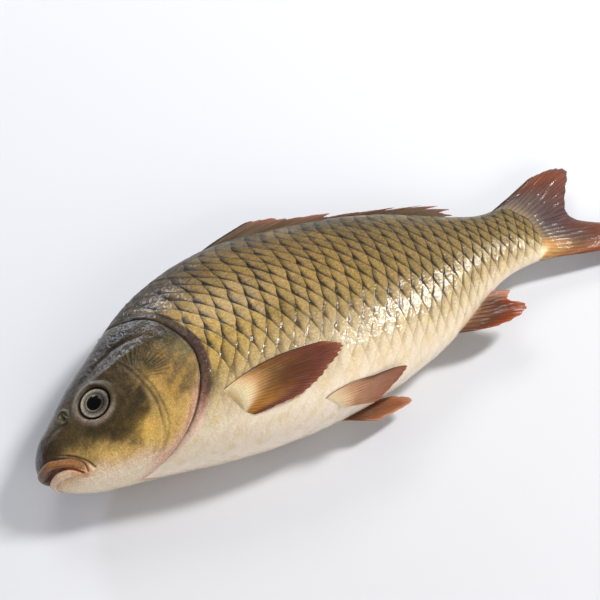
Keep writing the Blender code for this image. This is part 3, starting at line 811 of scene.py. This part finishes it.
# Head skin: thin skin over bone, freckled with pigment, under a film of slime that mirrors lights
FRECKLE_MM = 1.0
PATCH_MM = 5.0
material, tree, shader = wet_material("wet_head_skin", 0.36, 0.85, 0.04)
painted = add(tree, "Attribute", attribute_name="paint")
place = add(tree, "TexCoord").outputs["Object"]
freckle = add(tree, "TexNoise", Vector=place, Scale=1000 / FRECKLE_MM, Detail=4.0, Roughness=0.75)
blotch = add(tree, "TexNoise", Vector=place, Scale=1000 / PATCH_MM, Detail=4.0, Roughness=0.6)
speckle = add(tree, "ValToRGB", freckle, stops=[(0.31, 0.20), (0.50, 0.48), (0.69, 0.84)])
speckled = add(tree, "Mix", 0.70, _6=painted, _7=speckle, **OVERLAY).outputs[2]
patches = add(tree, "ValToRGB", blotch, stops=[(0.35, 0.36), (0.65, 0.64)])
paleness = add(tree, "SeparateColor", painted)
patch_share = add(tree, "Math", 0.85, paleness, operation="SUBTRACT")
patch_share = add(tree, "Clamp", patch_share, Min=0.12, Max=0.7)
finish = add(tree, "Mix", patch_share, _6=speckled, _7=patches, **OVERLAY).outputs[2]
tree.links.new(finish, shader.inputs["Base Color"])
height = add(tree, "Math", blotch, 5.0, freckle, operation="MULTIPLY_ADD")
bump = add(tree, "Bump", Strength=0.45, Distance=0.0004, Height=height)
tree.links.new(bump.outputs[0], shader.inputs["Normal"])
tree.links.new(bump.outputs[0], shader.inputs["Coat Normal"])
head.data.materials.append(material)
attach(head, "root")
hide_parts("carp")


# Eyes
# A firm glassy ball in each socket: a black pupil, a silver and gold iris and a clear domed front.
# The one form is set on the left side, and its mirror on the right.

EYE_RINGS = 40
EYE_TURNS = 72
PUPIL_SHARE = 0.49
EYE_DOME = 0.0062

spot = on_side(*EYE_PLACE)
slope_u = on_side(EYE_PLACE[0] + 0.01, EYE_PLACE[1]) - on_side(EYE_PLACE[0] - 0.01, EYE_PLACE[1])
slope_level = on_side(EYE_PLACE[0], EYE_PLACE[1] + 0.01) - on_side(EYE_PLACE[0], EYE_PLACE[1] - 0.01)
facing = np.cross(slope_u, slope_level)
facing /= np.linalg.norm(facing)
rearward = slope_u / np.linalg.norm(slope_u)
upward = np.cross(facing, rearward)
r = np.arange(1, EYE_RINGS + 1) / EYE_RINGS
turn = np.arange(EYE_TURNS) / EYE_TURNS * 2 * np.pi
dome = EYE_DOME * np.sqrt(np.clip(1 - (0.88 * r) ** 2, 0, 1)) - 0.0040
dome += 0.0009 * smooth(PUPIL_SHARE + 0.03, PUPIL_SHARE - 0.10, r)
wheel = np.cos(turn)[:, None] * rearward + np.sin(turn)[:, None] * upward
dial = spot + facing * dome[:, None, None] + EYE_RADIUS * r[:, None, None] * wheel
back_of_eye = dial[-1:] - facing * 0.012
dial = np.concatenate([dial, back_of_eye])
dial_ends = np.array([spot + facing * (EYE_DOME - 0.0040 + 0.0009), spot - facing * 0.018])
radii = np.concatenate([r, [1.0]])
across, turned = np.meshgrid(radii, np.linspace(0, 1, EYE_TURNS + 1), indexing="ij")
sweep = np.stack([np.cos(2 * np.pi * turned), np.sin(2 * np.pi * turned)], -1)
disc = 0.5 + 0.46 * across[..., None] * sweep
disc[-1] = 0.5 + (disc[-1] - 0.5) * 1.06
across, turned = across[:, :-1], turned[:, :-1]
iris = along_tones(across, [
    (0.00, "#010102"), (0.46, "#020203"), (0.50, "#1a1712"), (0.53, "#8d7c56"), (0.57, "#62584a"),
    (0.66, "#453d33"), (0.74, "#6f6a62"), (0.85, "#8c8880"), (0.91, "#a39b84"), (0.95, "#4a4232"),
    (1.00, "#15120e"),
])
streaky = 1 + 0.22 * np.sin(2 * np.pi * turned * 11 + 9 * across) * np.sin(2 * np.pi * turned * 7)
# Painted light: the iris is lighter towards the front and top, where the light falls, and darker opposite
iris = iris * (streaky * (0.86 + 0.56 * np.cos(2 * np.pi * (turned - 0.44))))[..., None]

# Eyeball: the iris glints like thin silver foil with gold and brown pigment, behind a clear cornea
FLECK_MM = 0.76923
material, tree, shader = wet_material("glassy_eye", 0.30, 0.4, 0.02, 0.05)
painted = add(tree, "Attribute", attribute_name="paint")
place = add(tree, "TexCoord").outputs["Object"]
flecks = add(tree, "TexNoise", Vector=place, Scale=1000 / FLECK_MM, Detail=3.0)
patchy_iris = add(tree, "ValToRGB", flecks, stops=[(0.35, 0.30), (0.65, 0.70)])
finish = add(tree, "Mix", 0.7, _6=painted, _7=patchy_iris, **OVERLAY).outputs[2]
tree.links.new(finish, shader.inputs["Base Color"])
for name, side in (("left", 1), ("right", -1)):
    set_in = [block.copy() for block in (dial, dial_ends)]
    for block in set_in:
        block[..., 2] = MIDDLE(EYE_PLACE[0]) + side * block[..., 2]
    eye = tube_mesh(f"eye_{name}", metres(set_in[0]), metres(set_in[1]), {"OFBake": disc}, {"paint": iris})
    eye.data.materials.append(material)
    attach(eye, "root")
    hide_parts("carp")


# Fins
# Thin webs of skin stretched over bony rays that fork towards the margin. The pectoral fin lies
# back on the flank, the dorsal fin is folded along the back, and the tail fin stands forked.

RAY_THICKNESS = 0.0034
WEB_SHARE = 0.42  # of the thickness of a ray
POINTS_PER_RAY = 9

# Fin skin: thin slimy web, half clear, over jointed bony rays that show as fine streaks
FIN_BLOTCH_MM = 4.5455
JOINTS_ALONG = 9.0
FORK_START = 0.40  # share of a ray's length
fin_skin, tree, shader = wet_material("rayed_fin_skin", 0.50, 0.38, 0.08)
shader.inputs["Subsurface Weight"].default_value = 0.10
shader.inputs["Subsurface Radius"].default_value = (0.004, 0.002, 0.001)
painted = add(tree, "Attribute", attribute_name="paint")
fin_uv = add(tree, "UVMap", uv_map="Fin")
q_out, b_out = add(tree, "SeparateXYZ", fin_uv).outputs[:2]
place = add(tree, "TexCoord").outputs["Object"]
streak_place = add(tree, "Mapping", Vector=fin_uv, Scale=(5.0, 3.0, 1.0))
streaks = add(tree, "TexNoise", Vector=streak_place, Scale=1.0, Detail=4.0)
blotch = add(tree, "TexNoise", Vector=place, Scale=1000 / FIN_BLOTCH_MM, Detail=3.0)
# One ray to each whole number, which forks in two further out
turned = add(tree, "Math", q_out, 2 * math.pi, operation="MULTIPLY")
once = add(tree, "Math", turned, operation="COSINE")
once = add(tree, "Math", once, -0.5, 0.5, operation="MULTIPLY_ADD")
twice = add(tree, "Math", turned, 2.0, operation="MULTIPLY")
forked = add(tree, "Math", twice, operation="COSINE")
forked = add(tree, "Math", forked, 0.5, 0.5, operation="MULTIPLY_ADD")
fork_by = add(tree, "Math", b_out, FORK_START, operation="SUBTRACT")
fork_by = add(tree, "Math", fork_by, 4.0, operation="MULTIPLY")
fork_by = add(tree, "Clamp", fork_by)
change = add(tree, "Math", forked, once, operation="SUBTRACT")
on_ray = add(tree, "Math", change, fork_by, once, operation="MULTIPLY_ADD")
on_ray = add(tree, "Math", on_ray, 0.0, operation="MAXIMUM")
# The rays sink out of sight in the pale fleshy base
fleshy_tone = add(tree, "SeparateColor", painted)
at_base = add(tree, "Math", fleshy_tone, -1.8, 1.35, operation="MULTIPLY_ADD")
at_base = add(tree, "Clamp", at_base)
on_ray = add(tree, "Math", on_ray, at_base, operation="MULTIPLY")
lined = add(tree, "Math", streaks, 0.5, operation="SUBTRACT")
lined = add(tree, "Math", lined, 1.6, operation="MULTIPLY")
lined = add(tree, "Math", lined, at_base, operation="MULTIPLY")
lined = add(tree, "Math", on_ray, 0.6, lined, operation="MULTIPLY_ADD")
blotchy = add(tree, "Math", blotch, 0.5, operation="SUBTRACT")
lined = add(tree, "Math", blotchy, 0.8, lined, operation="MULTIPLY_ADD")
tone = add(tree, "ValToRGB", lined, stops=[(0.00, 0.68), (0.30, 0.52), (0.75, 0.32)])
finish = add(tree, "Mix", 0.75, _6=painted, _7=tone, **OVERLAY).outputs[2]
tree.links.new(finish, shader.inputs["Base Color"])
joints = add(tree, "TexWave", Vector=fin_uv, Scale=JOINTS_ALONG, Distortion=1.5, bands_direction="Y")
height = add(tree, "Math", joints.outputs["Fac"], 0.25, on_ray, operation="MULTIPLY_ADD")
height = add(tree, "Math", blotch, 0.8, height, operation="MULTIPLY_ADD")
bump = add(tree, "Bump", Strength=0.5, Distance=0.0003, Height=height)
tree.links.new(bump.outputs[0], shader.inputs["Normal"])
tree.links.new(bump.outputs[0], shader.inputs["Coat Normal"])


def flank(u, level):
    """How far the skin stands from the middle plane at a level."""
    return on_side(u, level)[..., 2]


def ray_lines(q, b, rays):
    """How near a point is to a ray, 0 to 1, where each ray forks twice on its way out."""
    best = np.zeros_like(q)
    index = np.clip(np.floor(q), 0, rays - 1)
    fork = 0.25 * smooth(0.30, 0.62, b)
    again = 0.125 * smooth(0.62, 0.90, b)
    width = 0.20 - 0.13 * smooth(0.2, 1.0, b)
    for first in (-1, 1):
        for second in (-1, 1):
            line = index + 0.5 + first * fork + second * again
            best = np.maximum(best, bell(q - line, width))
    return best


def fin_piece(
    name, roots, tips, rays, steps, colours, side=1, on_skin=False, ripple=0.0012, notch=0.012,
    ragged=0.02, seed=1, bow=0.0, rooted=0.0, fleshy=0.0, hugs=False, sits=False, teeth=(),
):
    """One fin as a closed thin plate between a line of roots and a line of tips.

    on_skin lays the plate along the flank, and sits keeps it above the skin; ripple waves it, and
    bow bends its rays; notch, ragged and teeth cut its margin; rooted runs it on into the body;
    fleshy thickens its base; hugs lays its base over the end of the trunk; colours gives the paint
    for shares across the rays and along them.
    """
    chance = np.random.default_rng(seed)
    rows = rays * POINTS_PER_RAY + 1
    a = np.linspace(0, 1, rows)
    root_line = [spline(np.linspace(0, 1, len(roots)), column) for column in zip(*roots)]
    tip_line = [spline(np.linspace(0, 1, len(tips)), column) for column in zip(*tips)]
    root = np.stack([line(a) for line in root_line], -1)
    tip = np.stack([line(a) for line in tip_line], -1)
    q = a * rays
    web = 0.5 + 0.5 * np.cos(2 * np.pi * q)
    worn = np.interp(q, np.arange(rays + 1), chance.uniform(0, 1, rays + 1) ** 2)
    fine = 0.5 + 0.5 * np.cos(2 * np.pi * q * 4)
    longest = 1 - notch * web - ragged * worn - 0.5 * notch * fine
    if teeth:
        longest = longest - np.interp(a, *zip(*teeth))
    b = np.linspace(-rooted, 1, steps + 1)
    along = np.where(b[None, :] > 0, b[None, :] * longest[:, None], b[None, :])
    flat = root[:, None] + (tip - root)[:, None] * along[..., None]
    outer = np.clip(along, 0, 1)
    if hugs:  # the fin droops only behind the end of the body
        flat[..., 2] = root[:, None, 2] + (tip - root)[:, None, 2] * outer**3
    flat[..., 1] += bow * np.sin(np.pi * outer) * (1 - a[:, None]) ** 1.5
    if sits:
        above = flank(flat[..., 0], flat[..., 1]) + 0.0046 * smooth(0.0, 0.12, along) - 0.0014
        flat[..., 2] = np.where(along > 0, np.maximum(flat[..., 2], above), flat[..., 2])
    if on_skin:
        lift = root[:, None, 2] + (tip - root)[:, None, 2] * outer**0.40
        flat[..., 2] = flank(flat[..., 0], flat[..., 1]) + lift
    phases = np.interp(q, np.arange(rays + 1), chance.uniform(-1, 1, rays + 1))
    wave = ripple * outer * (phases[:, None] + 0.8 * np.sin(2.2 * np.pi * outer + 5 * a[:, None]))
    wave = wave + 0.25 * ripple * np.cos(2 * np.pi * q)[:, None] * outer
    flat[..., 2] = MIDDLE(flat[..., 0]) + side * (flat[..., 2] + wave)
    normal = grid_normals(flat, False)
    ridge = ray_lines(q[:, None] + 0 * outer, outer, rays)
    edge_soft = smooth(0.0, 0.012, a) * smooth(1.0, 0.988, a)
    end_soft = np.sqrt(np.clip((1 - b) / 0.04, 0, 1))[None, :]
    depth = RAY_THICKNESS * (1 - 0.72 * outer) * (WEB_SHARE + (1 - WEB_SHARE) * ridge)
    across = np.sin(np.pi * np.clip(a, 0.02, 0.98))[:, None] ** 0.6
    depth = depth + fleshy * smooth(0.0, 0.10, outer) * smooth(0.30, 0.12, outer) * across
    depth = depth * (0.25 + 0.75 * edge_soft[:, None]) * (0.2 + 0.8 * end_soft)
    if hugs:
        body = 2 * flank(np.minimum(flat[..., 0], BODY_END), flat[..., 1])
        body = body * smooth(BODY_END + 0.040, BODY_END - 0.002, flat[..., 0])
        over = body + 0.0036 * smooth(-rooted, 0.10, along) - 0.0012
        over = over + 0.0010 * ridge * smooth(0.0, 0.2, along)
        depth = np.where(body > 0.0005, np.maximum(depth, over), depth)
        depth[:, 0] = np.maximum(depth[:, 0] - 0.004, 0.0004)
    faces = [flat + normal * depth[..., None] / 2, flat - normal * depth[..., None] / 2]
    for sheet in faces:
        sheet[..., 2] = np.maximum(sheet[..., 2], 0.0008)
    loop = np.concatenate([faces[0], faces[1][:, ::-1]], axis=1)
    ends = np.stack([flat[0].mean(0), flat[-1].mean(0)])
    paint = colours(a[:, None] + 0 * outer, outer)
    paint = np.concatenate([paint, paint[:, ::-1]], axis=1)
    a_grid = np.repeat(a[:, None], 2 * (steps + 1) + 1, 1)
    b_grid = np.concatenate([along, along[:, ::-1], along[:, :1]], axis=1)
    places = np.linspace(0.01, 0.99, 2 * (steps + 1) + 1)
    bake = np.stack(np.meshgrid(0.01 + 0.98 * a, places, indexing="ij"), -1)
    maps = {"OFBake": bake, "Fin": np.stack([a_grid * rays, b_grid], -1)}
    fin = tube_mesh(name, metres(loop), metres(ends), maps, {"paint": paint})
    fin.data.materials.append(fin_skin)
    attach(fin, "root")
    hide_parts("carp")


# The pectoral fins: amber, browner and redder to the tip, from a pale fleshy base
PECTORAL_ROOTS = [
    (0.3130, -0.0700, -0.004), (0.3210, -0.0830, -0.004), (0.3290, -0.0970, -0.004),
    (0.3350, -0.1120, -0.004),
]
PECTORAL_TIPS = [
    (0.502, -0.0690, 0.010), (0.531, -0.0880, 0.013), (0.490, -0.1115, 0.012),
    (0.430, -0.1290, 0.010), (0.350, -0.1240, 0.003),
]


def pectoral_colours(a, b):
    out = b - 0.07 * np.sin(np.pi * a)  # the fleshy base ends in a rounded border
    tones = along_tones(out, [
        (-0.05, "#c9ab7a"), (0.06, "#d8bd96"), (0.14, "#cfaa80"), (0.23, "#a97d4c"),
        (0.34, "#7a5527"), (0.48, "#6a4220"), (0.62, "#653922"), (0.78, "#602e22"),
        (0.90, "#7b4229"), (1.0, "#9a6a45"),
    ])
    tones = layered(tones, [
        ("#a8712c", smooth(0.50, 0.85, a) * smooth(0.18, 0.3, out) * smooth(0.80, 0.5, out) * 0.75),
        ("#4a2a1c", bell(a - 0.40, 0.20) * bell(out - 0.55, 0.22) * 0.6),
        ("#dfcba8", bell(out - 0.09, 0.07) * smooth(0.25, 0.5, a) * 0.5),
    ])
    return tinted(tones, "#33291f", smooth(0.035, 0.012, a) * smooth(-0.02, 0.05, b))


for name, side, seed in (("left", 1, 3), ("right", -1, 4)):
    fin_piece(
        f"pectoral_fin_{name}", PECTORAL_ROOTS, PECTORAL_TIPS, 17, 50, pectoral_colours, side, True,
        seed=seed, bow=0.010, fleshy=0.0050, rooted=0.10, notch=0.022, ragged=0.05,
    )

# The pelvic fins: pinkish brown, small and narrow, below the belly
PELVIC_ROOTS = [(0.4620, -0.1440, 0.044), (0.4740, -0.1520, 0.036), (0.4860, -0.1590, 0.026)]
PELVIC_TIPS = {
    "left": [(0.600, -0.1470, 0.060), (0.613, -0.1560, 0.055), (0.545, -0.1790, 0.036)],
    "right": [(0.600, -0.150, 0.054), (0.624, -0.176, 0.046), (0.546, -0.186, 0.034)],
}


def pelvic_colours(a, b):
    tones = along_tones(b, [
        (0.0, "#dcc6a4"), (0.16, "#cdab88"), (0.36, "#a57a5c"), (0.65, "#8f6650"), (1.0, "#86523e"),
    ])
    return tinted(tones, "#4a3830", smooth(0.05, 0.01, a) * 0.8)


def right_pelvic_colours(a, b):
    tones = along_tones(b, [
        (0.0, "#c49a70"), (0.22, "#8a6444"), (0.55, "#704a34"), (0.85, "#8c5636"), (1.0, "#b08068"),
    ])
    return tinted(tones, "#4a3830", smooth(0.05, 0.01, a) * 0.8)


PELVIC_SIDES = (("left", 1, 7, pelvic_colours), ("right", -1, 8, right_pelvic_colours))
for name, side, seed, colours in PELVIC_SIDES:
    fin_piece(
        f"pelvic_fin_{name}", PELVIC_ROOTS, PELVIC_TIPS[name], 9, 38, colours, side,
        ripple=0.001, seed=seed, rooted=0.12, sits=side > 0, bow=0.006,
    )

# The tail fin: its scaled root lies over the end of the trunk, dark grey, then russet lobes
TAIL_ROOTS = [
    (0.944, 0.0800, 0), (0.972, 0.0640, 0), (0.992, 0.0440, 0), (0.999, 0.0180, 0),
    (0.998, -0.0080, 0), (0.990, -0.0300, 0), (0.966, -0.0470, 0),
]
TAIL_TIPS = [
    (1.058, 0.1200, -0.006), (1.110, 0.1220, -0.012), (1.134, 0.0960, -0.014),
    (1.082, 0.0220, -0.012), (1.140, -0.0330, -0.014), (1.178, -0.0900, -0.014),
    (1.060, -0.0700, -0.008),
]


def tail_colours(a, b):
    tones = along_tones(b, [
        (0.0, "#7b6a55"), (0.07, "#6d5d4d"), (0.16, "#5f5047"), (0.30, "#574842"),
        (0.60, "#613a2c"), (0.85, "#74402c"), (0.96, "#6a473c"), (1.0, "#8a7064"),
    ])
    tones = layered(tones, [
        ("#8f5a2c", smooth(0.72, 0.95, a) * smooth(0.05, 0.3, b) * 0.75),
        ("#7d3a2c", smooth(0.68, 0.85, a) * smooth(0.4, 0.8, b) * 0.8),
        ("#4a3c3c", bell(a - 0.50, 0.14) * smooth(0.1, 0.4, b) * 0.8),
        ("#b0834c", smooth(0.64, 0.82, a) * smooth(0.40, 0.05, b)),
        ("#dcc29a", smooth(0.78, 0.92, a) * smooth(0.07, 0.01, b)),
    ])
    return tinted(tones, "#3c332c", smooth(0.06, 0.02, a) * 0.9)


fin_piece(
    "tail_fin", TAIL_ROOTS, TAIL_TIPS, 21, 52, tail_colours,
    ripple=0.0014, seed=11, rooted=0.06, hugs=True, notch=0.025, ragged=0.035,
)

# The dorsal fin: long and spiny, folded back so that its rays lie one along the other
DORSAL_ROOTS = [
    (0.358, 0.2150, 0.0), (0.430, 0.2165, 0.0), (0.500, 0.212, 0.0), (0.640, 0.186, 0.0),
    (0.790, 0.127, 0.0),
]
DORSAL_TIPS = [
    (0.527, 0.2560, 0.004), (0.600, 0.2300, 0.006), (0.700, 0.1910, 0.008), (0.790, 0.1590, 0.008),
    (0.865, 0.1290, 0.008), (0.884, 0.0960, 0.008),
]


def dorsal_colours(a, b):
    tones = along_tones(b, [
        (0.0, "#3f3527"), (0.45, "#524530"), (0.80, "#6a4f3d"), (1.0, "#955f4c"),
    ])
    return tinted(tones, "#2e261b", smooth(0.04, 0.01, a) * 0.9)


# Its longest rays end in three points; between them the margin steps down
DORSAL_TEETH = [
    (0.0, 0.0), (0.14, 0.0), (0.16, 0.08), (0.36, 0.0), (0.38, 0.12), (0.60, 0.0), (0.62, 0.13),
    (0.71, 0.0), (0.73, 0.16), (0.81, 0.0), (0.83, 0.18), (0.90, 0.02), (0.92, 0.2), (1.0, 0.06),
]
fin_piece(
    "dorsal_fin", DORSAL_ROOTS, DORSAL_TIPS, 22, 30, dorsal_colours,
    ripple=0.0015, notch=0.03, ragged=0.06, seed=13, teeth=DORSAL_TEETH, bow=0.006,
)

# The anal fin: short, russet, with a nick between its two lobes
ANAL_ROOTS = [
    (0.728, -0.112, 0.0), (0.765, -0.098, 0.0), (0.800, -0.084, 0.0), (0.838, -0.064, 0.0),
]
ANAL_TIPS = [
    (0.785, -0.1270, 0.004), (0.845, -0.1370, 0.002), (0.893, -0.1200, 0.0), (0.872, -0.0970, 0.0),
    (0.883, -0.0800, 0.0),
]


def anal_colours(a, b):
    tones = along_tones(b, [
        (0.0, "#b08a68"), (0.22, "#664229"), (0.55, "#522f1e"), (0.82, "#7a3517"), (1.0, "#9a5a3a"),
    ])
    return tinted(tones, "#b98a72", smooth(0.75, 1.0, a) * 0.6)


fin_piece(
    "anal_fin", ANAL_ROOTS, ANAL_TIPS, 10, 40, anal_colours,
    seed=17, ripple=0.0016, notch=0.035, ragged=0.08,
)


# Stage, lights and camera
# A pale stone slab under the fish, soft boxes overhead and behind, a tall narrow one past the tail
# that makes the wet glints, a wide low one in front, and the view of the photo.

CAMERA_TURN = math.radians(-27.74)
CAMERA_RISE = math.radians(61.16)
CAMERA_AWAY = 1.95857 * STANDARD
CAMERA_AIM = (0.53227, 0.07179, 0.0800)  # in the fish's own shares
LENS = 66.0  # mm, on a 36 mm sensor

bpy.ops.object.select_all(action="DESELECT")
bpy.ops.mesh.primitive_plane_add(size=6.0, location=(0, 0, -0.0003))
floor = bpy.context.object
floor.name = "pale_slab"
slab, tree, shader = wet_material("honed_pale_stone", 0.55, 0.0)
shader.inputs["Base Color"].default_value = (*linear("#d8d9dd"), 1)
floor.data.materials.append(slab)


def softbox(name, place, aim, width, height, power, colour):
    """A rectangular area light, aimed at a point."""
    data = bpy.data.lights.new(name, "AREA")
    data.shape = "RECTANGLE"
    data.size, data.size_y = width, height
    data.energy = power
    data.color = linear(colour)
    lamp = bpy.data.objects.new(name, data)
    lamp.location = place
    lamp.rotation_euler = (Vector(aim) - Vector(place)).to_track_quat("-Z", "Y").to_euler()
    bpy.context.scene.collection.objects.link(lamp)


softbox("overhead", (0.10, 1.15, 1.25), (0, 0, 0), 0.7, 0.5, 6, "#fffaf4")
softbox("window", (-0.35, 1.60, 0.50), (0, 0, 0.03), 0.36, 0.13, 11, "#e8f0ff")
softbox("tall_window", (1.22, 0.04, 1.42), (0, 0, 0.03), 0.21, 0.48, 31, "#fffefc")
softbox("low_fill", (0.00, -1.60, 1.10), (0, 0, 0.03), 1.8, 0.9, 14, "#fffaf4")
world = bpy.data.worlds.new("studio")
bpy.context.scene.world = world
world.use_nodes = True
world.node_tree.nodes["Background"].inputs["Color"].default_value = (*linear("#eef1f8"), 1)
world.node_tree.nodes["Background"].inputs["Strength"].default_value = 0.32

lens = bpy.data.cameras.new("camera")
lens.sensor_width = 36.0
lens.lens = LENS
camera = bpy.data.objects.new("camera", lens)
back = Vector((
    math.sin(CAMERA_TURN) * math.cos(CAMERA_RISE),
    -math.cos(CAMERA_TURN) * math.cos(CAMERA_RISE),
    math.sin(CAMERA_RISE),
))
camera.location = Vector(metres(np.array(CAMERA_AIM))) + back * CAMERA_AWAY
camera.rotation_euler = (-back).to_track_quat("-Z", "Y").to_euler()
bpy.context.scene.collection.objects.link(camera)
bpy.context.scene.camera = camera
bpy.context.scene.view_settings.view_transform = "Standard"
